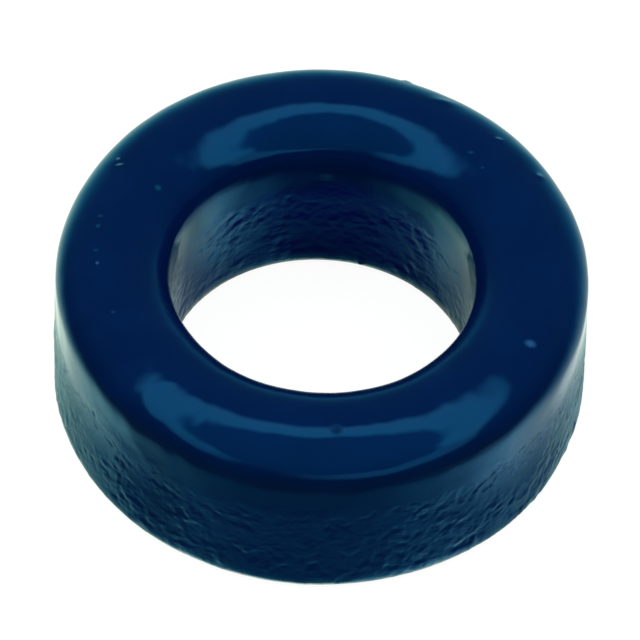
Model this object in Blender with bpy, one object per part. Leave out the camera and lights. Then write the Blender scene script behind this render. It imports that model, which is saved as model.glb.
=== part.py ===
"""Ferrite toroid core: one pressed ring with a domed top, straight walls and a flat foot,
coated all over in dark blue epoxy. Metres, +Z up, origin at the centre of the foot."""

from math import cos, pi, radians, sin

import bmesh
import bpy

# Driving sizes of the coated ring
OUTER_DIAMETER = 0.0227
BORE_DIAMETER = 0.0130
HEIGHT = 0.00866

# The top is one dome from the outer wall to the bore, with a narrow flat land on its crest
CREST_LAND_WIDTH = 0.0003
DOME_DEPTH = 0.0017

# The press leaves only a small edge at the foot, taller than it is deep
FOOT_EDGE_REACH = 0.00045
FOOT_EDGE_RISE = 0.0009

# Facets of the round shapes
TURN_STEPS = 96
DOME_STEPS = 9
FOOT_EDGE_STEPS = 4
SHARP_EDGE_ANGLE = radians(40)

# Finish of the epoxy coat
COAT_COLOUR = (0.0015, 0.018, 0.085, 1.0)
COAT_ROUGHNESS = 0.22
COAT_METALLIC = 0.0


def clear_scene():
    for obj in list(bpy.data.objects):
        bpy.data.objects.remove(obj, do_unlink=True)


def quarter_ellipse(centre, reach, rise, start, steps):
    """Points in the XZ plane of a quarter turn, from the angle start, with reach in X and rise in Z."""
    cx, cz = centre
    angles = [start + 0.5 * pi * i / steps for i in range(steps + 1)]
    return [(cx + reach * cos(a), 0.0, cz + rise * sin(a)) for a in angles]


def ring_section():
    """Closed outline of the ring's wall, from the foot up the outside, over the dome and down the bore."""
    outer_radius = OUTER_DIAMETER / 2
    bore_radius = BORE_DIAMETER / 2
    dome_reach = (outer_radius - bore_radius - CREST_LAND_WIDTH) / 2
    dome_base = HEIGHT - DOME_DEPTH

    outer_foot = quarter_ellipse(
        (outer_radius - FOOT_EDGE_REACH, FOOT_EDGE_RISE),
        FOOT_EDGE_REACH, FOOT_EDGE_RISE, -0.5 * pi, FOOT_EDGE_STEPS,
    )
    outer_dome = quarter_ellipse(
        (outer_radius - dome_reach, dome_base), dome_reach, DOME_DEPTH, 0.0, DOME_STEPS
    )
    inner_dome = quarter_ellipse(
        (bore_radius + dome_reach, dome_base), dome_reach, DOME_DEPTH, 0.5 * pi, DOME_STEPS
    )
    inner_foot = quarter_ellipse(
        (bore_radius + FOOT_EDGE_REACH, FOOT_EDGE_RISE),
        FOOT_EDGE_REACH, FOOT_EDGE_RISE, pi, FOOT_EDGE_STEPS,
    )
    return outer_foot + outer_dome + inner_dome + inner_foot


def epoxy_coat():
    material = bpy.data.materials.new("blue_epoxy_coat")
    material.use_nodes = True
    shader = material.node_tree.nodes["Principled BSDF"]
    shader.inputs["Base Color"].default_value = COAT_COLOUR
    shader.inputs["Roughness"].default_value = COAT_ROUGHNESS
    shader.inputs["Metallic"].default_value = COAT_METALLIC
    return material


def toroid_core():
    """Spin the closed section once round the Z axis."""
    bm = bmesh.new()
    corners = [bm.verts.new(point) for point in ring_section()]
    edges = [bm.edges.new(pair) for pair in zip(corners, corners[1:] + corners[:1])]
    bmesh.ops.spin(
        bm, geom=corners + edges, cent=(0.0, 0.0, 0.0), axis=(0.0, 0.0, 1.0),
        angle=2 * pi, steps=TURN_STEPS, use_merge=True,
    )
    bmesh.ops.recalc_face_normals(bm, faces=bm.faces)

    mesh = bpy.data.meshes.new("toroid_core")
    bm.to_mesh(mesh)
    bm.free()
    mesh.shade_smooth()
    mesh.set_sharp_from_angle(angle=SHARP_EDGE_ANGLE)
    mesh.materials.append(epoxy_coat())

    core = bpy.data.objects.new("toroid_core", mesh)
    bpy.context.scene.collection.objects.link(core)
    return core


clear_scene()
toroid_core()
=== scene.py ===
"""Looks of the ferrite toroid core: one blue epoxy coated ring on a pale floor, lit by a soft ring
lamp. The coat has flowed smooth over the domed top and lies wrinkled on the lower walls."""
import math

import bpy
import numpy as np
from mathutils import Matrix, Vector, noise


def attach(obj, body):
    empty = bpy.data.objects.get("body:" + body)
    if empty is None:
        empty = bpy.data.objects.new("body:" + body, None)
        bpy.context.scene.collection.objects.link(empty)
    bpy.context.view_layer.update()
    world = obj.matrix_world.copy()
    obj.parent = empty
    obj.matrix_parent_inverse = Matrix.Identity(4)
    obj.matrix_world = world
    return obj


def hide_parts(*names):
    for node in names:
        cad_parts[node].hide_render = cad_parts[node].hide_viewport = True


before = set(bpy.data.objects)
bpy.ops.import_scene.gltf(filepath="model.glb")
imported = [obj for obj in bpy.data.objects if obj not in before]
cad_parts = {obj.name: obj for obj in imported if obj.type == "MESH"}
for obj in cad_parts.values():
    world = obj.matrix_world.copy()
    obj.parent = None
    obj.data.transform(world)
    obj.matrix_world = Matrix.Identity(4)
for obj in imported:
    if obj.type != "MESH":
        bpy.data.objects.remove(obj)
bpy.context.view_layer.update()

MM = 0.001

# Vertices closer than this count as one place, and those this near a wall count as on it
SAME_PLACE = 0.001 * MM
ON_WALL = 0.002 * MM

# The ring's own sizes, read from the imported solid
_CORE = np.array([v.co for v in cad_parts["toroid_core"].data.vertices])
_RADII = np.hypot(_CORE[:, 0], _CORE[:, 1])
_OUTER_WALL = _CORE[_RADII > _RADII.max() - ON_WALL]
HEIGHT = float(_CORE[:, 2].max())
OUTER_RADIUS = float(_RADII.max())
BORE_RADIUS = float(_RADII.min())
DOME_BASE = float(_OUTER_WALL[:, 2].max())
FOOT_EDGE_RISE = float(_OUTER_WALL[:, 2].min())
FOOT_RADIUS = float(_RADII[_CORE[:, 2] < SAME_PLACE].max())
CREST_RADIUS = float(_RADII[_CORE[:, 2] > HEIGHT - SAME_PLACE].max())

# Rows and columns of the mesh, and the height in millimetres below which it is fine. The outer wall's
# faces there are halved both ways once the ring is turned. The bore has twice the rows instead. Of the
# margins that pick those faces, the first takes in their top row and the second leaves out the foot.
TURN_STEPS = 400
DOME_STEPS = 18
FOOT_EDGE_STEPS = 4
SMOOTH_ROWS = 4
WRINKLED_ROWS = 27
FINE_MESH_TOP = 5.8
FINE_MESH_MARGIN = 0.01
FOOT_MARGIN = 0.02

# The coat's surface, in millimetres. The wrinkles start below the smooth edge, with a small lip. The
# shoulder is where the wall turns into the dome, and at the foot the coat ends on the plain ring.
OUTER_SMOOTH_EDGE = 5.1
BORE_SMOOTH_EDGE = 4.7
SMOOTH_EDGE_FADE = 0.35
LIP_DEPTH = 0.016
CREASE_HEIGHT = 0.020
RIPPLE_HEIGHT = 0.013
SHOULDER_DROP = 0.030
SHOULDER_FOOT = (6.5, 7.3)
SHOULDER_TOP = (7.3, 8.6)
FOOT_FADE = (0.05, 0.5)

# The solid's outline lies a little inside the photograph's, so the coat's outer side is lifted. The
# lift fades out up the dome, and inward from the outer wall.
OUTER_LIFT = 0.035
LIFT_TOP_FADE = (7.0, 8.5)
LIFT_SIDE_FADE = (8.9, 9.8)

# Layers of noise in the coat: the amount, the scale per millimetre, and where in the noise it is taken
# from. The wanders move the smooth edge, and the unevenness makes the wrinkles higher in places.
ORIGIN = Vector((0, 0, 0))
SLOW_WANDER = (0.50, 0.35, ORIGIN)
MIDDLE_WANDER = (0.50, 1.1, Vector((9, 0, 4)))
QUICK_WANDER = (0.35, 2.6, Vector((1, 8, 3)))
WRINKLES = (0.036, 2.1, ORIGIN)
FINE_WRINKLES = (0.024, 4.2, Vector((3, 7, 1)))
CREASES = (1.0, 2.0, Vector((6, 2, 5)))
CREASE_GAPS = (1.0, 1.5, Vector((2, 4, 9)))
UNEVENNESS = (0.9, 0.8, Vector((0, 5, 8)))
SWELL = (0.065, 0.22, Vector((23, 4, 19)))
RIPPLE = (1.0, 0.8, Vector((7, 5, 8)))
FINE_RIPPLE = (0.3, 2.0, Vector((7, 5, 8)))

# How the wrinkles are squashed in height and bent, by amount and scale, and how their creases stand
WRINKLE_SEED = 4
WRINKLE_SQUASH = 0.95
WRINKLE_BENDS = ((0.32, 1.1), (0.14, 2.9))
WRINKLE_RISE = 0.62
WRINKLE_RISE_LIMITS = (0.2, 1.1)
CREASE_SHARPNESS = 1.7
CREASE_GAP_FADE = (-0.10, 0.20)

# Where the coat ran unevenly round the lower left of the dome, and how much stronger the ripple is there
RUN_CENTRE = Vector((-7.0, -7.8, 8.4))
RUN_REACH = 4.5
RUN_CORE = 0.4 * RUN_REACH
RUN_GAIN = 1.2

# Specks and drops in the coat: place, half widths and height in millimetres. Beyond the limit from its
# place a speck is too low to matter.
SPECK_LIMIT = 1.5
SPECKS = (
    (Vector((-7.16, 3.42, 8.55)), Vector((0.20, 0.20, 0.30)), 0.012),
    (Vector((8.89, -4.34, 8.55)), Vector((0.26, 0.22, 0.30)), 0.012),
    (Vector((-8.93, 4.95, 8.44)), Vector((0.20, 0.16, 0.20)), 0.030),
    (Vector((6.06, 5.95, 8.65)), Vector((0.20, 0.12, 0.30)), 0.010),
    (Vector((9.15, -2.11, 8.65)), Vector((0.14, 0.14, 0.30)), -0.015),
    (Vector((3.32, 10.52, 7.83)), Vector((0.16, 0.16, 0.20)), 0.080),
    (Vector((4.84, 8.95, 8.45)), Vector((0.50, 0.24, 0.25)), 0.070),
    (Vector((7.34, 6.90, 8.49)), Vector((0.20, 0.14, 0.20)), 0.045),
    (Vector((9.13, 5.10, 8.30)), Vector((0.16, 0.20, 0.20)), 0.060),
    (Vector((0.00, 6.50, 6.10)), Vector((0.30, 0.20, 0.14)), 0.060),
    (Vector((1.63, 6.35, 0.50)), Vector((0.14, 0.20, 0.16)), 0.170),
)

# Colours of painted glints: lighter spots that stand in for the lamp's highlights on specks in the coat
TEAL_PAINTED_GLINT = (0.0035, 0.0430, 0.1050, 1.0)
BLUE_PAINTED_GLINT = (0.0150, 0.0750, 0.2100, 1.0)
PALE_PAINTED_GLINT = (0.0450, 0.1400, 0.2300, 1.0)
DIM_PAINTED_GLINT = (0.0040, 0.0380, 0.1000, 1.0)

# The painted glints: place and half widths in millimetres, and colour
PAINTED_GLINTS = (
    (Vector((-7.16, 3.42, 8.55)), Vector((0.15, 0.15, 0.40)), TEAL_PAINTED_GLINT),
    (Vector((8.89, -4.34, 8.55)), Vector((0.25, 0.19, 0.40)), BLUE_PAINTED_GLINT),
    (Vector((-9.55, 1.70, 8.60)), Vector((0.13, 0.07, 0.40)), DIM_PAINTED_GLINT),
    (Vector((-9.62, 1.15, 8.60)), Vector((0.11, 0.12, 0.40)), DIM_PAINTED_GLINT),
    (Vector((-9.57, -0.88, 8.62)), Vector((0.08, 0.09, 0.40)), BLUE_PAINTED_GLINT),
    (Vector((-9.66, -0.18, 8.60)), Vector((0.12, 0.06, 0.40)), DIM_PAINTED_GLINT),
    (Vector((-8.78, -3.55, 8.64)), Vector((0.10, 0.07, 0.40)), DIM_PAINTED_GLINT),
    (Vector((-8.93, 5.06, 8.44)), Vector((0.09, 0.10, 0.40)), PALE_PAINTED_GLINT),
    (Vector((-8.86, 4.68, 8.48)), Vector((0.17, 0.07, 0.40)), PALE_PAINTED_GLINT),
    (Vector((6.14, 5.97, 8.65)), Vector((0.14, 0.08, 0.40)), DIM_PAINTED_GLINT),
    (Vector((6.66, 5.15, 8.66)), Vector((0.09, 0.05, 0.40)), DIM_PAINTED_GLINT),
    (Vector((4.84, 9.05, 8.45)), Vector((0.38, 0.08, 0.40)), TEAL_PAINTED_GLINT),
    (Vector((7.34, 6.98, 8.49)), Vector((0.17, 0.08, 0.40)), PALE_PAINTED_GLINT),
    (Vector((9.13, 5.20, 8.30)), Vector((0.15, 0.12, 0.40)), PALE_PAINTED_GLINT),
    (Vector((0.00, 6.50, 6.12)), Vector((0.32, 0.30, 0.13)), TEAL_PAINTED_GLINT),
)

# A dull fleck near the front that shows as a notch in the lamp's reflection
FLECK = (Vector((0.84, -9.46, 8.62)), Vector((0.27, 0.30, 0.40)))

# Where the edge of a painted glint or the fleck fades, in half widths
GLINT_AND_FLECK_FADE = (0.2, 1.4)

# The coat's finish. The grain varies the roughness, apart from an even share of it.
TOP_BLUE = (0.0003, 0.0088, 0.0605, 1.0)
# Painted light: the walls' blue is a little more teal, and lighter to make up for the walls getting less
# light than the top
WALL_TEAL_WITH_PAINTED_LIGHT = (0.0008, 0.0128, 0.0700, 1.0)
# Painted shade: the outer shoulder's blue is darker, for the dark band between the dome and the wall
SHOULDER_PAINTED_SHADE = (0.0003, 0.0090, 0.0520, 1.0)
BORE_TOP_BLUE = (0.0006, 0.0120, 0.0710, 1.0)
# Painted light: the bore's blue is more violet, and much lighter to make up for the dim light in the bore
BORE_VIOLET_WITH_PAINTED_LIGHT = (0.0012, 0.0032, 0.1150, 1.0)
HIGHLIGHT_TINT = (0.05, 0.5, 1.0, 1.0)
COAT_IOR = 1.5
GLOSS_ROUGHNESS = 0.085
WRINKLED_ROUGHNESS = 0.16
BORE_RIM_ROUGHNESS = 0.27
FLECK_ROUGHNESS = 0.6
EVEN_ROUGHNESS_SHARE = 0.5
GRAIN_DEPTH = 0.012

# Noise in the finish: its scale per millimetre and its detail. The patches are a little darker or
# lighter than the rest.
GRAIN = (5.0, 3)
PATCHES = (0.45, 2)
PATCH_FADE = (0.35, 0.75)
PATCH_TINT = (0.92, 1.08)

# Where one colour or finish of the coat turns into the next, in millimetres: heights, distances from
# the axis, and for the front part of the bore's rim the place from front to back. The patches move the
# wall's line up and down.
WALL_LINE = (5.6, 7.0)
WALL_LINE_WANDER = 2.0
DOME_LINE = (7.2, 7.65)
BORE_LINE = (6.7, 7.3)
BORE_RIM_BOTTOM = (7.5, 7.9)
BORE_RIM_EDGE = (7.1, 7.9)
BORE_RIM_FRONT = (-2.5, 0.5)

# The photograph's camera
CAMERA_ELEVATION = math.radians(50.84)
CAMERA_ROLL = math.radians(-2.24)
CAMERA_DISTANCE = 0.4994
CAMERA_LENS = 656.9
SENSOR_WIDTH = 36
CLIP_START = 0.01
CLIP_END = 5
AIM_SLIP = (-0.000032, -0.000048)

WHITE = (1.0, 1.0, 1.0, 1.0)

# The studio: a soft ring lamp round the camera's line of sight, peaked at the top, sagging to the lower
# right and open low on its left, in a dim room
LAMP_ELEVATION = math.radians(51.5)
LAMP_INNER = (math.radians(35.5), math.radians(43))
LAMP_OUTER = (math.radians(51), math.radians(59))
LAMP_PEAK = (math.radians(7.5), math.radians(10))
PEAK_SIDE_FADE = (0.0, 0.55)
PEAK_TOP_FADE = (0.2, 0.5)
LAMP_SAG = (math.radians(5), math.radians(6))
LAMP_STRENGTH = 2.1
LAMP_COLOUR = (0.75, 1.0, 1.0)
ROOM_INSIDE_LAMP = 0.42
ROOM_STRENGTH = (0.07, 0.19)
ROOM_HEIGHTS = (0.0, 0.6)
ROOM_COLOUR = (0.4, 1.0, 1.0)

# The lamp by turns round it, in degrees from its right side upward: between which two turns its sag or
# its brightness changes, and from which share to which
SAG_BEGINS = (-112, -80, 0.0, 1.0)
SAG_ENDS = (-22, -2, 1.0, 0.0)
LEFT_DIMS = (-180, -150, 0.85, 0.65)
LEFT_ENDS = (-152, -122, 1.0, 0.0)
RIGHT_BEGINS = (-112, -65, 0.0, 1.0)
RIGHT_BRIGHTENS = (-20, 0, 0.55, 1.0)
RIGHT_DIMS = (150, 180, 1.0, 0.85)

# Pale surroundings: a backdrop behind and at the sides, and the table close to the ring. Both are dim
# and teal on the dark side, where the camera is, and turn white behind. The fades lie between two
# heights, from -1 straight down to 1 straight up, or between two shares toward a side, from 1 toward it
# to -1 away from it. The backdrop's fade is of the height plus its slope times the share toward the
# dark side, so its top edge comes down there. Strengths and sides follow what the coat mirrors in the
# photograph. The number just above 1 keeps a square root real straight up and down.
DARK_SIDE_TURN = math.radians(264)
ABOVE_ONE = 1.001
BACKDROP_STRENGTH = 0.92
BACKDROP_FADE = (-1.12, -0.32)
BACKDROP_SLOPE = 0.9
BACKDROP_SLOPE_END = -0.8
BACKDROP_BEHIND = (-1.0, -0.85, 0.75, 1.0)
HAZE_STRENGTH = 0.12
HAZE_TOP_FADE = (0.1, 0.55)
HAZE_SIDE_FADE = (-0.8, -0.2)
TABLE_STRENGTH = 0.145
TABLE_SIDE_STRENGTH = 0.20
TABLE_FRONT_FADE = (0.40, 0.95)
TABLE_SIDE_FADE = (-0.60, -0.10)
TABLE_BACK_STRENGTH = 0.35
TABLE_BACK_FADE = (-0.9, -0.6)
TABLE_EDGE_FADE = (-0.765, -0.72)
BELOW_STRENGTH = 0.16
BELOW_FADE = (-0.97, -0.85)
RIGHT_GLOW_STRENGTH = 0.08
RIGHT_GLOW_SIDE = Vector((0.88, -0.47, 0.0))
RIGHT_GLOW_FADE = (0.80, 0.98)
RIGHT_GLOW_TOP_FADE = (-0.70, -0.60)

# The backdrop is dimmer to the back right, and both it and the table are dimmer in a narrow part on
# the left
DIM_BACK_RIGHT = 0.62
DIM_BACK_RIGHT_SIDE = Vector((0.79, 0.62, 0.0))
DIM_BACK_RIGHT_FADE = (0.80, 1.0)
DIM_LEFT = 0.76
DIM_LEFT_SIDE = Vector((-0.985, -0.17, 0.0))
DIM_LEFT_FADE = (0.955, 0.995)

# Red and blue of the surroundings, beside a green of 1. Both change with the share toward the dark
# side. Red also changes with that share's size and with the height, and blue with the direction.
RED_BY_TURN = (-0.43, 0.36)
RED_BY_TURN_SIZE = 0.12
RED_BY_HEIGHT = (-0.95, 0.15, 1.06, 0.08)
BLUE_BY_TURN = 0.36
BLUE_BASE = 1.57
BLUE_BY_DIRECTION = (0.25, 0.0, 0.45)

# Light that falls on the matt side of things, at the horizon and overhead, and the lamp's part in it
FILL_STRENGTH = (0.3, 1.0)
FILL_HEIGHTS = (-0.2, 1.0)
LAMP_IN_FILL = 0.5

# The floor, and how the ring shades the pale surroundings that gloss shows through it. In the bore they
# are dark in the front half, and darker by the walls than in the middle. By the left wall they are
# brighter than by the right one, and one patch is greener and brighter.
FLOOR_SIZE = 1.2
FLOOR_COLOUR = (0.15, 0.15, 0.15, 1.0)
FLOOR_GLOW_SEEN = 0.93
SHADE_AT_FOOT = (0.28, 0.42, 0.45, 1.0)
SHADE_IN_FRONT = (0.90, 0.95, 0.95, 1.0)
SHADE_FRONT_FADE = (0.70, 0.92)
SHADE_CENTRE = Vector((0.0, -1.2, 0.0)) * MM
SHADE_EDGE = (12.7 * MM, 13.5 * MM)
SHADE_IN_BORE = 0.95
SHADE_BY_BORE_WALL = (0.58, 0.30)
BORE_WALL_FADE = (1.5 * MM, 4.0 * MM)
BORE_WALL_REACH = (0.62 * BORE_RADIUS, 0.88 * BORE_RADIUS)
LIT_LEFT_OF_BORE = 1.45
LIT_LEFT_FADE = (-4.6 * MM, -2.6 * MM)
LIT_BACK_FADE = (0.8 * MM, 3.4 * MM)
BORE_TINT = (0.92, 1.00, 0.97, 1.0)
LIT_PATCH_TINT = (1.06, 1.26, 1.08, 1.0)
LIT_PATCH = Vector((-1.6, 4.8, 0.0)) * MM
LIT_PATCH_FADE = (0.6 * MM, 2.3 * MM)


def deselect_all():
    if bpy.context.object and bpy.context.object.mode != "OBJECT":
        bpy.ops.object.mode_set(mode="OBJECT")
    bpy.ops.object.select_all(action="DESELECT")


def select_vertices(obj, wanted):
    """In object mode, selects only the vertices whose place makes wanted true."""
    mesh = obj.data
    for item in (*mesh.polygons, *mesh.edges):
        item.select = False
    for vertex in mesh.vertices:
        vertex.select = wanted(vertex.co)
    for edge in mesh.edges:
        edge.select = all(mesh.vertices[i].select for i in edge.vertices)
    for face in mesh.polygons:
        face.select = all(mesh.vertices[i].select for i in face.vertices)


def round_corners(section, top, reach, rise, steps):
    """Rounds the section's two top or bottom corners to quarter ellipses, by a bevel while the section is
    stretched in height."""
    stretch = reach / rise
    section.scale = (1, 1, stretch)
    bpy.ops.object.transform_apply(location=False, rotation=False, scale=True)
    edge_z = HEIGHT * stretch if top else 0.0
    select_vertices(section, lambda co: abs(co.z - edge_z) < SAME_PLACE)
    bpy.ops.object.mode_set(mode="EDIT")
    bpy.ops.mesh.bevel(offset=reach, segments=steps, affect="VERTICES", clamp_overlap=False)
    bpy.ops.object.mode_set(mode="OBJECT")
    section.scale = (1, 1, 1 / stretch)
    bpy.ops.object.transform_apply(location=False, rotation=False, scale=True)


def subdivide_upright(section, radius, low, high, cuts):
    """Puts cuts into the section's upright edge at this radius between the heights low and high."""
    mesh = section.data
    select_vertices(section, lambda co: False)
    for edge in mesh.edges:
        ends = sorted(mesh.vertices[i].co.z for i in edge.vertices)
        at_radius = abs(mesh.vertices[edge.vertices[0]].co.x - radius) < ON_WALL
        edge.select = at_radius and abs(ends[0] - low) < ON_WALL and abs(ends[1] - high) < ON_WALL
    bpy.ops.object.mode_set(mode="EDIT")
    bpy.ops.mesh.select_mode(type="EDGE")
    bpy.ops.mesh.subdivide(number_cuts=cuts)
    bpy.ops.mesh.select_mode(type="VERT")
    bpy.ops.object.mode_set(mode="OBJECT")


def ring_section():
    """The ring's wall in section, as a closed line in the XZ plane: a rectangle with its corners rounded."""
    wall = OUTER_RADIUS - BORE_RADIUS
    middle = (OUTER_RADIUS + BORE_RADIUS) / 2
    bpy.ops.mesh.primitive_plane_add(size=1, rotation=(math.pi / 2, 0, 0))
    section = bpy.context.object
    section.name = "toroid_coat"
    section.scale = (wall, HEIGHT, 1)
    section.location = (middle, 0, HEIGHT / 2)
    bpy.ops.object.transform_apply(location=True, rotation=True, scale=True)
    round_corners(section, True, OUTER_RADIUS - CREST_RADIUS, HEIGHT - DOME_BASE, DOME_STEPS)
    round_corners(section, False, OUTER_RADIUS - FOOT_RADIUS, FOOT_EDGE_RISE, FOOT_EDGE_STEPS)

    bpy.ops.object.mode_set(mode="EDIT")
    bpy.ops.mesh.select_all(action="SELECT")
    bpy.ops.mesh.delete(type="ONLY_FACE")
    bpy.ops.mesh.select_all(action="SELECT")
    bpy.ops.mesh.bisect(plane_co=(0, 0, FINE_MESH_TOP * MM), plane_no=(0, 0, 1))
    bpy.ops.object.mode_set(mode="OBJECT")
    subdivide_upright(section, OUTER_RADIUS, FOOT_EDGE_RISE, FINE_MESH_TOP * MM, WRINKLED_ROWS)
    subdivide_upright(section, BORE_RADIUS, FOOT_EDGE_RISE, FINE_MESH_TOP * MM, 2 * WRINKLED_ROWS)
    for radius in (OUTER_RADIUS, BORE_RADIUS):
        subdivide_upright(section, radius, FINE_MESH_TOP * MM, DOME_BASE, SMOOTH_ROWS)
    return section


def on_fine_outer_wall(place):
    """Whether a vertex of the turned ring lies on the outer wall below the fine mesh's top."""
    below_top = place.z < (FINE_MESH_TOP + FINE_MESH_MARGIN) * MM
    return below_top and place.xy.length > FOOT_RADIUS + FOOT_MARGIN * MM


def turned_ring():
    """Turns the section once round the Z axis into a closed ring, and halves the outer wall's lower faces
    both ways."""
    deselect_all()
    ring = ring_section()
    bpy.ops.object.modifier_add(type="SCREW")
    turn = ring.modifiers[-1]
    turn.axis = "Z"
    turn.steps = turn.render_steps = TURN_STEPS
    turn.use_merge_vertices = True
    turn.merge_threshold = SAME_PLACE
    bpy.ops.object.modifier_apply(modifier=turn.name)
    select_vertices(ring, on_fine_outer_wall)
    bpy.ops.object.mode_set(mode="EDIT")
    bpy.ops.mesh.subdivide(number_cuts=1)
    bpy.ops.mesh.select_all(action="SELECT")
    bpy.ops.mesh.remove_doubles(threshold=SAME_PLACE)
    bpy.ops.mesh.normals_make_consistent(inside=False)
    bpy.ops.mesh.select_all(action="DESELECT")
    bpy.ops.object.mode_set(mode="OBJECT")
    bpy.ops.object.shade_smooth()
    return ring


def step(value, low, high):
    """0 below low, 1 above high, and smooth between."""
    t = min(max((value - low) / (high - low), 0.0), 1.0)
    return t * t * (3 - 2 * t)


def layer(place, amount, scale, start):
    """One layer of noise, at a place in millimetres."""
    return amount * noise.noise(place * scale + start)


def crease(value):
    """Turns noise from -1 to 1 into narrow lines that stand up where it crosses 0."""
    return max(1 - abs(value) * CREASE_SHARPNESS, 0.0) ** 2


def wrinkle_height(place):
    """Height of the coat at a place on a wall, all in millimetres: smooth above, wrinkled below.
    The wrinkles are short and lie mostly level, as a coat that sank while it dried."""
    edge = OUTER_SMOOTH_EDGE if place.xy.length > FOOT_RADIUS / MM else BORE_SMOOTH_EDGE
    edge += layer(place, *SLOW_WANDER) + layer(place, *MIDDLE_WANDER)
    edge += layer(place, *QUICK_WANDER)
    wrinkled = 1 - step(place.z, edge - SMOOTH_EDGE_FADE, edge)
    if wrinkled == 0:
        return 0.0
    squashed = Vector((place.x, place.y, place.z * WRINKLE_SQUASH))
    bent = squashed
    for amount, scale in WRINKLE_BENDS:
        bent = bent + amount * noise.noise_vector(squashed * scale)
    lowest, highest = WRINKLE_RISE_LIMITS
    rise = min(max(WRINKLE_RISE + layer(place, *UNEVENNESS), lowest), highest)
    height = layer(bent, *WRINKLES)
    height += layer(bent, *FINE_WRINKLES)
    broken = step(layer(bent, *CREASE_GAPS), *CREASE_GAP_FADE)
    height += CREASE_HEIGHT * broken * crease(layer(bent, *CREASES))
    return wrinkled * (rise * height - LIP_DEPTH)


def coat_height(place):
    """Height of the coat over the plain ring at a place, all in millimetres."""
    height = layer(place, *SWELL)
    ripple = layer(place, *RIPPLE) + layer(place, *FINE_RIPPLE)
    run = 1 - step((place - RUN_CENTRE).length, RUN_CORE, RUN_REACH)
    height += RIPPLE_HEIGHT * (1 + RUN_GAIN * run) * ripple
    height -= SHOULDER_DROP * step(place.z, *SHOULDER_FOOT) * (1 - step(place.z, *SHOULDER_TOP))
    if place.z < FINE_MESH_TOP:
        height += wrinkle_height(place)
    outside = step(place.xy.length, *LIFT_SIDE_FADE)
    height += OUTER_LIFT * (1 - step(place.z, *LIFT_TOP_FADE)) * outside
    height *= step(place.z, *FOOT_FADE)
    for centre, widths, rise in SPECKS:
        apart = place - centre
        if apart.length < SPECK_LIMIT:
            away = Vector((apart.x / widths.x, apart.y / widths.y, apart.z / widths.z)).length
            height += rise * math.exp(-away * away)
    return height


def shape_coat(ring):
    """Moves the ring's vertices along their normals, so that the coat lies on it as it dried. The seed
    keeps the wrinkles the same each run, since noise_vector is otherwise seeded from the clock."""
    noise.seed_set(WRINKLE_SEED)
    vertices = ring.data.vertices
    moves = [vertex.normal * coat_height(vertex.co / MM) * MM for vertex in vertices]
    for vertex, move in zip(vertices, moves):
        vertex.co += move


def link(tree, source, target):
    tree.links.new(source, target)


def math_node(tree, operation, *values):
    node = tree.nodes.new("ShaderNodeMath")
    node.operation = operation
    for socket, value in zip(node.inputs, values):
        if isinstance(value, (int, float)):
            socket.default_value = value
        else:
            link(tree, value, socket)
    return node.outputs[0]


def smooth_step(tree, value, low, high, start=0.0, end=1.0):
    node = tree.nodes.new("ShaderNodeMapRange")
    node.interpolation_type = "SMOOTHSTEP"
    link(tree, value, node.inputs["Value"])
    for name, number in (("From Min", low), ("From Max", high), ("To Min", start), ("To Max", end)):
        node.inputs[name].default_value = number
    return node.outputs["Result"]


def scaled(tree, colour, amount):
    """A colour, as a tuple or a socket, times an amount."""
    node = tree.nodes.new("ShaderNodeVectorMath")
    node.operation = "SCALE"
    if isinstance(colour, tuple):
        node.inputs[0].default_value = colour
    else:
        link(tree, colour, node.inputs[0])
    link(tree, amount, node.inputs["Scale"])
    return node.outputs[0]


def added(tree, first, second):
    node = tree.nodes.new("ShaderNodeVectorMath")
    node.operation = "ADD"
    link(tree, first, node.inputs[0])
    link(tree, second, node.inputs[1])
    return node.outputs[0]


def length_of(tree, vector):
    node = tree.nodes.new("ShaderNodeVectorMath")
    node.operation = "LENGTH"
    link(tree, vector, node.inputs[0])
    return node.outputs["Value"]


def dot_with(tree, vector, direction):
    node = tree.nodes.new("ShaderNodeVectorMath")
    node.operation = "DOT_PRODUCT"
    link(tree, vector, node.inputs[0])
    node.inputs[1].default_value = direction
    return node.outputs["Value"]


def blend(tree, factor, first, second, colours=False):
    """Mixes two values or two colours, each a number, a tuple or a socket."""
    node = tree.nodes.new("ShaderNodeMix")
    node.data_type = "RGBA" if colours else "FLOAT"
    kind = "RGBA" if colours else "VALUE"
    inputs = {s.name: s for s in node.inputs if s.type == kind}
    factor_socket = [s for s in node.inputs if s.name == "Factor" and s.type == "VALUE"][0]
    link(tree, factor, factor_socket)
    for name, value in (("A", first), ("B", second)):
        if isinstance(value, (int, float, tuple)):
            inputs[name].default_value = value
        else:
            link(tree, value, inputs[name])
    return [s for s in node.outputs if s.type == kind][0]


def noise_node(tree, place, scale, detail):
    node = tree.nodes.new("ShaderNodeTexNoise")
    link(tree, place, node.inputs["Vector"])
    node.inputs["Scale"].default_value = scale
    node.inputs["Detail"].default_value = detail
    return node.outputs["Fac"]


def spot_mask(tree, place, centre, widths):
    """1 within a round mark on the coat, a painted glint or the dull fleck, and 0 outside it."""
    away = place
    for operation, value in (("SUBTRACT", centre), ("DIVIDE", widths)):
        node = tree.nodes.new("ShaderNodeVectorMath")
        node.operation = operation
        link(tree, away, node.inputs[0])
        node.inputs[1].default_value = value
        away = node.outputs[0]
    return smooth_step(tree, length_of(tree, away), *GLINT_AND_FLECK_FADE, 1.0, 0.0)


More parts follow.
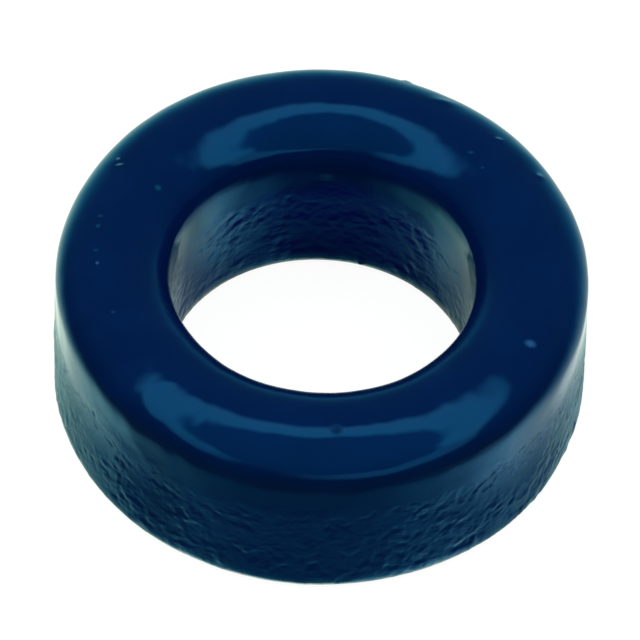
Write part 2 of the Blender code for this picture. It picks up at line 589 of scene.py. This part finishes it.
def coat_material():
    """The epoxy coat: deep blue, glossy, with a blue sheen in its highlights. It is a little more teal on
    the walls, more violet in the bore, and duller where it is wrinkled. Its colour holds painted light too:
    the walls and the bore are lighter to make up for the dimmer light on them, the outer shoulder is
    darker as painted shade, and lighter spots are painted glints."""
    material = bpy.data.materials.new("blue_epoxy_coat")
    material.use_nodes = True
    tree = material.node_tree
    shader = tree.nodes["Principled BSDF"]
    place = tree.nodes.new("ShaderNodeVectorMath")
    place.operation = "SCALE"
    link(tree, tree.nodes.new("ShaderNodeTexCoord").outputs["Object"], place.inputs[0])
    place.inputs["Scale"].default_value = 1 / MM
    place = place.outputs[0]
    parts = tree.nodes.new("ShaderNodeSeparateXYZ")
    link(tree, place, parts.inputs[0])
    reach = math_node(tree, "SQRT", math_node(
        tree, "MULTIPLY_ADD", parts.outputs["X"], parts.outputs["X"],
        math_node(tree, "MULTIPLY", parts.outputs["Y"], parts.outputs["Y"]),
    ))
    patches = noise_node(tree, place, *PATCHES)
    line = math_node(tree, "MULTIPLY_ADD", patches, WALL_LINE_WANDER, parts.outputs["Z"])
    on_wall = smooth_step(tree, line, *WALL_LINE, 1.0, 0.0)
    below_dome = smooth_step(tree, parts.outputs["Z"], *DOME_LINE, 1.0, 0.0)
    in_bore = smooth_step(tree, reach, *BORE_LINE, 1.0, 0.0)

    # Painted light: the walls and the bore get their lightened blues
    wall_blue_with_painted_light = blend(tree, in_bore, WALL_TEAL_WITH_PAINTED_LIGHT, BORE_VIOLET_WITH_PAINTED_LIGHT, colours=True)
    # Painted shade: the outer shoulder gets its darkened blue
    shoulder_blue_with_painted_shade = blend(tree, in_bore, SHOULDER_PAINTED_SHADE, BORE_TOP_BLUE, colours=True)
    blue = blend(tree, below_dome, TOP_BLUE, shoulder_blue_with_painted_shade, colours=True)
    blue = blend(tree, on_wall, blue, wall_blue_with_painted_light, colours=True)
    tint = blend(tree, smooth_step(tree, patches, *PATCH_FADE), *PATCH_TINT)
    blue = scaled(tree, blue, tint)
    # Painted highlights: lighter spots laid into the blue where the lamp would glint on specks
    for centre, widths, colour in PAINTED_GLINTS:
        blue = blend(tree, spot_mask(tree, place, centre, widths), blue, colour, colours=True)
    link(tree, blue, shader.inputs["Base Color"])

    grain = noise_node(tree, place, *GRAIN)
    above_bore = smooth_step(tree, parts.outputs["Z"], *BORE_RIM_BOTTOM)
    near_bore = smooth_step(tree, reach, *BORE_RIM_EDGE, 1.0, 0.0)
    bore_rim = math_node(tree, "MULTIPLY", above_bore, near_bore)
    in_front = smooth_step(tree, parts.outputs["Y"], *BORE_RIM_FRONT, 1.0, 0.0)
    bore_rim = math_node(tree, "MULTIPLY", bore_rim, in_front)
    rough = blend(tree, on_wall, GLOSS_ROUGHNESS, WRINKLED_ROUGHNESS)
    rough = blend(tree, bore_rim, rough, BORE_RIM_ROUGHNESS)
    rough = blend(tree, spot_mask(tree, place, *FLECK), rough, FLECK_ROUGHNESS)
    uneven = math_node(tree, "ADD", grain, EVEN_ROUGHNESS_SHARE)
    link(tree, math_node(tree, "MULTIPLY", rough, uneven), shader.inputs["Roughness"])
    bump = tree.nodes.new("ShaderNodeBump")
    bump.inputs["Distance"].default_value = GRAIN_DEPTH * MM
    link(tree, math_node(tree, "MULTIPLY", on_wall, grain), bump.inputs["Height"])
    link(tree, bump.outputs[0], shader.inputs["Normal"])
    shader.inputs["IOR"].default_value = COAT_IOR
    shader.inputs["Specular Tint"].default_value = HIGHLIGHT_TINT
    return material


def camera_axes():
    """Unit vectors to the right, up and back of the photograph's camera."""
    back = Vector((0, -math.cos(CAMERA_ELEVATION), math.sin(CAMERA_ELEVATION)))
    level_right = Vector((1, 0, 0))
    level_up = back.cross(level_right)
    right = level_right * math.cos(CAMERA_ROLL) - level_up * math.sin(CAMERA_ROLL)
    up = level_right * math.sin(CAMERA_ROLL) + level_up * math.cos(CAMERA_ROLL)
    return right, up, back


def add_camera():
    right, up, back = camera_axes()
    data = bpy.data.cameras.new("camera")
    data.sensor_width = SENSOR_WIDTH
    data.lens = CAMERA_LENS
    data.clip_start = CLIP_START
    data.clip_end = CLIP_END
    camera = bpy.data.objects.new("camera", data)
    bpy.context.scene.collection.objects.link(camera)
    place = Vector((0, 0, HEIGHT / 2)) + back * CAMERA_DISTANCE + right * AIM_SLIP[0] + up * AIM_SLIP[1]
    turn = Matrix((right, up, back)).transposed().to_4x4()
    camera.matrix_world = Matrix.Translation(place) @ turn
    bpy.context.scene.camera = camera


def ring_lamp(tree, direction):
    """Brightness of the ring lamp by direction, and of what is seen inside it. Turns round the ring count
    from its right side upward."""
    axis = Vector((0, -math.cos(LAMP_ELEVATION), math.sin(LAMP_ELEVATION)))
    right_side = Vector((1, 0, 0))
    upward = dot_with(tree, direction, axis.cross(right_side))
    rightward = dot_with(tree, direction, right_side)
    turn = math_node(tree, "ARCTAN2", upward, rightward)

    def along(low, high, start, end):
        return smooth_step(tree, turn, math.radians(low), math.radians(high), start, end)

    sideways = math_node(tree, "ABSOLUTE", rightward)
    in_middle = smooth_step(tree, sideways, *PEAK_SIDE_FADE, 1.0, 0.0)
    peak = math_node(tree, "MULTIPLY", in_middle, smooth_step(tree, upward, *PEAK_TOP_FADE))
    sag = math_node(tree, "MULTIPLY", along(*SAG_BEGINS), along(*SAG_ENDS))
    angle = math_node(tree, "ARCCOSINE", dot_with(tree, direction, axis))
    edges = []
    for at_peak, at_sag in zip(LAMP_PEAK, LAMP_SAG):
        edge = math_node(tree, "MULTIPLY_ADD", sag, -at_sag, angle)
        edges.append(math_node(tree, "MULTIPLY_ADD", peak, -at_peak, edge))
    inner, outer = edges
    ring = math_node(
        tree, "MULTIPLY", smooth_step(tree, inner, *LAMP_INNER, 0.0, LAMP_STRENGTH),
        smooth_step(tree, outer, *LAMP_OUTER, 1.0, 0.0),
    )
    lower_left = math_node(tree, "MULTIPLY", along(*LEFT_DIMS), along(*LEFT_ENDS))
    right = math_node(tree, "MULTIPLY", along(*RIGHT_BEGINS), along(*RIGHT_BRIGHTENS))
    right = math_node(tree, "MULTIPLY", right, along(*RIGHT_DIMS))
    ring = math_node(tree, "MULTIPLY", ring, math_node(tree, "ADD", lower_left, right))
    inside_strength = ROOM_INSIDE_LAMP - ROOM_STRENGTH[1]
    inside = smooth_step(tree, inner, LAMP_INNER[0], LAMP_OUTER[0], inside_strength, 0.0)
    return ring, inside


def low_glow(tree, direction, height):
    """Brightness and colour of the backdrop and the table by direction."""
    dark_side = Vector((math.cos(DARK_SIDE_TURN), math.sin(DARK_SIDE_TURN), 0))
    height_squared = math_node(tree, "MULTIPLY", height, height)
    level = math_node(tree, "SQRT", math_node(tree, "SUBTRACT", ABOVE_ONE, height_squared))

    def toward(side):
        return math_node(tree, "DIVIDE", dot_with(tree, direction, side), level)

    def dimmed(brightness, share):
        return math_node(tree, "MULTIPLY", brightness, share)

    turned = toward(dark_side)
    sloping = math_node(tree, "MAXIMUM", turned, BACKDROP_SLOPE_END)
    edge = math_node(tree, "MULTIPLY_ADD", sloping, BACKDROP_SLOPE, height)
    bright = smooth_step(tree, edge, *BACKDROP_FADE, BACKDROP_STRENGTH, 0.0)
    bright = dimmed(bright, smooth_step(tree, turned, *BACKDROP_BEHIND))
    back_right = toward(DIM_BACK_RIGHT_SIDE)
    bright = dimmed(bright, smooth_step(tree, back_right, *DIM_BACK_RIGHT_FADE, 1.0, DIM_BACK_RIGHT))
    haze = smooth_step(tree, height, *HAZE_TOP_FADE, HAZE_STRENGTH, 0.0)
    haze = dimmed(haze, smooth_step(tree, turned, *HAZE_SIDE_FADE, 1.0, 0.0))
    beside = smooth_step(tree, turned, *TABLE_FRONT_FADE, TABLE_SIDE_STRENGTH, 0.0)
    table = math_node(tree, "ADD", TABLE_STRENGTH, beside)
    behind = smooth_step(tree, turned, *TABLE_SIDE_FADE, TABLE_SIDE_STRENGTH, 0.0)
    table = math_node(tree, "SUBTRACT", table, behind)
    far_behind = smooth_step(tree, turned, *TABLE_BACK_FADE, TABLE_BACK_STRENGTH, 0.0)
    table = math_node(tree, "ADD", table, far_behind)
    table = dimmed(table, smooth_step(tree, height, *TABLE_EDGE_FADE, 1.0, 0.0))
    left = smooth_step(tree, toward(DIM_LEFT_SIDE), *DIM_LEFT_FADE, 1.0, DIM_LEFT)
    bright = dimmed(bright, left)
    table = dimmed(table, left)
    below = smooth_step(tree, height, *BELOW_FADE, BELOW_STRENGTH, 0.0)
    rightward = toward(RIGHT_GLOW_SIDE)
    right_glow = smooth_step(tree, rightward, *RIGHT_GLOW_FADE, 0.0, RIGHT_GLOW_STRENGTH)
    right_glow = dimmed(right_glow, smooth_step(tree, height, *RIGHT_GLOW_TOP_FADE, 1.0, 0.0))
    for part in (haze, table, below, right_glow):
        bright = math_node(tree, "ADD", bright, part)

    red = math_node(tree, "MULTIPLY_ADD", turned, *RED_BY_TURN)
    red = math_node(tree, "MULTIPLY_ADD", math_node(tree, "ABSOLUTE", turned), RED_BY_TURN_SIZE, red)
    red = math_node(tree, "MULTIPLY", red, smooth_step(tree, height, *RED_BY_HEIGHT))
    blue = math_node(tree, "ADD", dot_with(tree, direction, BLUE_BY_DIRECTION), BLUE_BASE)
    blue = math_node(tree, "MULTIPLY_ADD", turned, BLUE_BY_TURN, blue)
    colour = tree.nodes.new("ShaderNodeCombineXYZ")
    link(tree, red, colour.inputs["X"])
    colour.inputs["Y"].default_value = 1.0
    link(tree, blue, colour.inputs["Z"])
    return scaled(tree, colour.outputs[0], bright)


def add_world():
    """The studio's light by direction. The camera itself sees plain white."""
    world = bpy.data.worlds.new("studio")
    bpy.context.scene.world = world
    world.use_nodes = True
    tree = world.node_tree
    direction = tree.nodes.new("ShaderNodeTexCoord").outputs["Generated"]
    height = dot_with(tree, direction, (0, 0, 1))
    rays = tree.nodes.new("ShaderNodeLightPath").outputs
    lamp, inside_lamp = ring_lamp(tree, direction)
    room = smooth_step(tree, height, *ROOM_HEIGHTS, *ROOM_STRENGTH)
    room = math_node(tree, "ADD", inside_lamp, room)
    mirrored = added(tree, scaled(tree, LAMP_COLOUR, lamp), scaled(tree, ROOM_COLOUR, room))
    mirrored = added(tree, mirrored, low_glow(tree, direction, height))
    fill = smooth_step(tree, height, *FILL_HEIGHTS, *FILL_STRENGTH)
    fill = math_node(tree, "MULTIPLY_ADD", lamp, LAMP_IN_FILL, fill)
    fill = scaled(tree, WHITE[:3], fill)
    colour = blend(tree, rays["Is Diffuse Ray"], mirrored, fill, colours=True)
    colour = blend(tree, rays["Is Camera Ray"], colour, WHITE, colours=True)
    link(tree, colour, tree.nodes["Background"].inputs["Color"])


def floor_material():
    """A pale floor that the camera sees as white. Gloss shows the pale surroundings through it, shaded
    in the bore and close to the foot."""
    material = bpy.data.materials.new("pale_floor")
    material.use_nodes = True
    tree = material.node_tree
    shader = tree.nodes["Principled BSDF"]
    shader.inputs["Base Color"].default_value = FLOOR_COLOUR
    shader.inputs["Roughness"].default_value = 1.0
    shader.inputs["Specular IOR Level"].default_value = 0.0
    rays = tree.nodes.new("ShaderNodeLightPath").outputs
    glow = math_node(tree, "MULTIPLY", rays["Is Camera Ray"], FLOOR_GLOW_SEEN)
    link(tree, glow, shader.inputs["Emission Strength"])
    shader.inputs["Emission Color"].default_value = WHITE

    place = tree.nodes.new("ShaderNodeTexCoord").outputs["Object"]
    away = length_of(tree, place)
    apart = []
    for centre in (SHADE_CENTRE, LIT_PATCH):
        node = tree.nodes.new("ShaderNodeVectorMath")
        node.operation = "SUBTRACT"
        link(tree, place, node.inputs[0])
        node.inputs[1].default_value = centre
        apart.append(length_of(tree, node.outputs[0]))
    from_shade, from_patch = apart
    outside = blend(tree, smooth_step(tree, from_shade, *SHADE_EDGE), SHADE_AT_FOOT, WHITE, colours=True)
    toward_front = math_node(tree, "DIVIDE", dot_with(tree, place, (0, -1, 0)), away)
    in_front = smooth_step(tree, toward_front, *SHADE_FRONT_FADE)
    outside = blend(tree, in_front, outside, SHADE_IN_FRONT, colours=True)

    rightward = dot_with(tree, place, (1, 0, 0))
    aside = math_node(tree, "ABSOLUTE", rightward)
    by_wall = smooth_step(tree, aside, *BORE_WALL_FADE, *SHADE_BY_BORE_WALL)
    on_left = smooth_step(tree, rightward, *LIT_LEFT_FADE, LIT_LEFT_OF_BORE, 1.0)
    by_wall = math_node(tree, "MULTIPLY", by_wall, on_left)
    near_wall = smooth_step(tree, away, *BORE_WALL_REACH)
    inside = blend(tree, near_wall, SHADE_IN_BORE, by_wall)
    lit_back = smooth_step(tree, dot_with(tree, place, (0, 1, 0)), *LIT_BACK_FADE)
    patch = smooth_step(tree, from_patch, *LIT_PATCH_FADE, 1.0, 0.0)
    tint = blend(tree, patch, BORE_TINT, LIT_PATCH_TINT, colours=True)
    inside = scaled(tree, tint, math_node(tree, "MULTIPLY", inside, lit_back))
    in_bore = math_node(tree, "LESS_THAN", away, (OUTER_RADIUS + BORE_RADIUS) / 2)
    clear = tree.nodes.new("ShaderNodeBsdfTransparent")
    link(tree, blend(tree, in_bore, outside, inside, colours=True), clear.inputs["Color"])
    mirrored = math_node(tree, "MAXIMUM", rays["Is Glossy Ray"], rays["Is Transmission Ray"])
    mix = tree.nodes.new("ShaderNodeMixShader")
    link(tree, mirrored, mix.inputs["Fac"])
    link(tree, shader.outputs[0], mix.inputs[1])
    link(tree, clear.outputs[0], mix.inputs[2])
    link(tree, mix.outputs[0], tree.nodes["Material Output"].inputs["Surface"])
    return material


def add_floor():
    deselect_all()
    bpy.ops.mesh.primitive_plane_add(size=FLOOR_SIZE, location=(0, 0, 0))
    floor = bpy.context.object
    floor.name = "pale_floor"
    floor.data.materials.append(floor_material())


def add_coat():
    ring = turned_ring()
    shape_coat(ring)
    ring.data.materials.append(coat_material())
    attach(ring, "root")
    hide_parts("toroid_core")


add_camera()
add_world()
add_floor()
add_coat()

bpy.context.scene.view_settings.view_transform = "Standard"
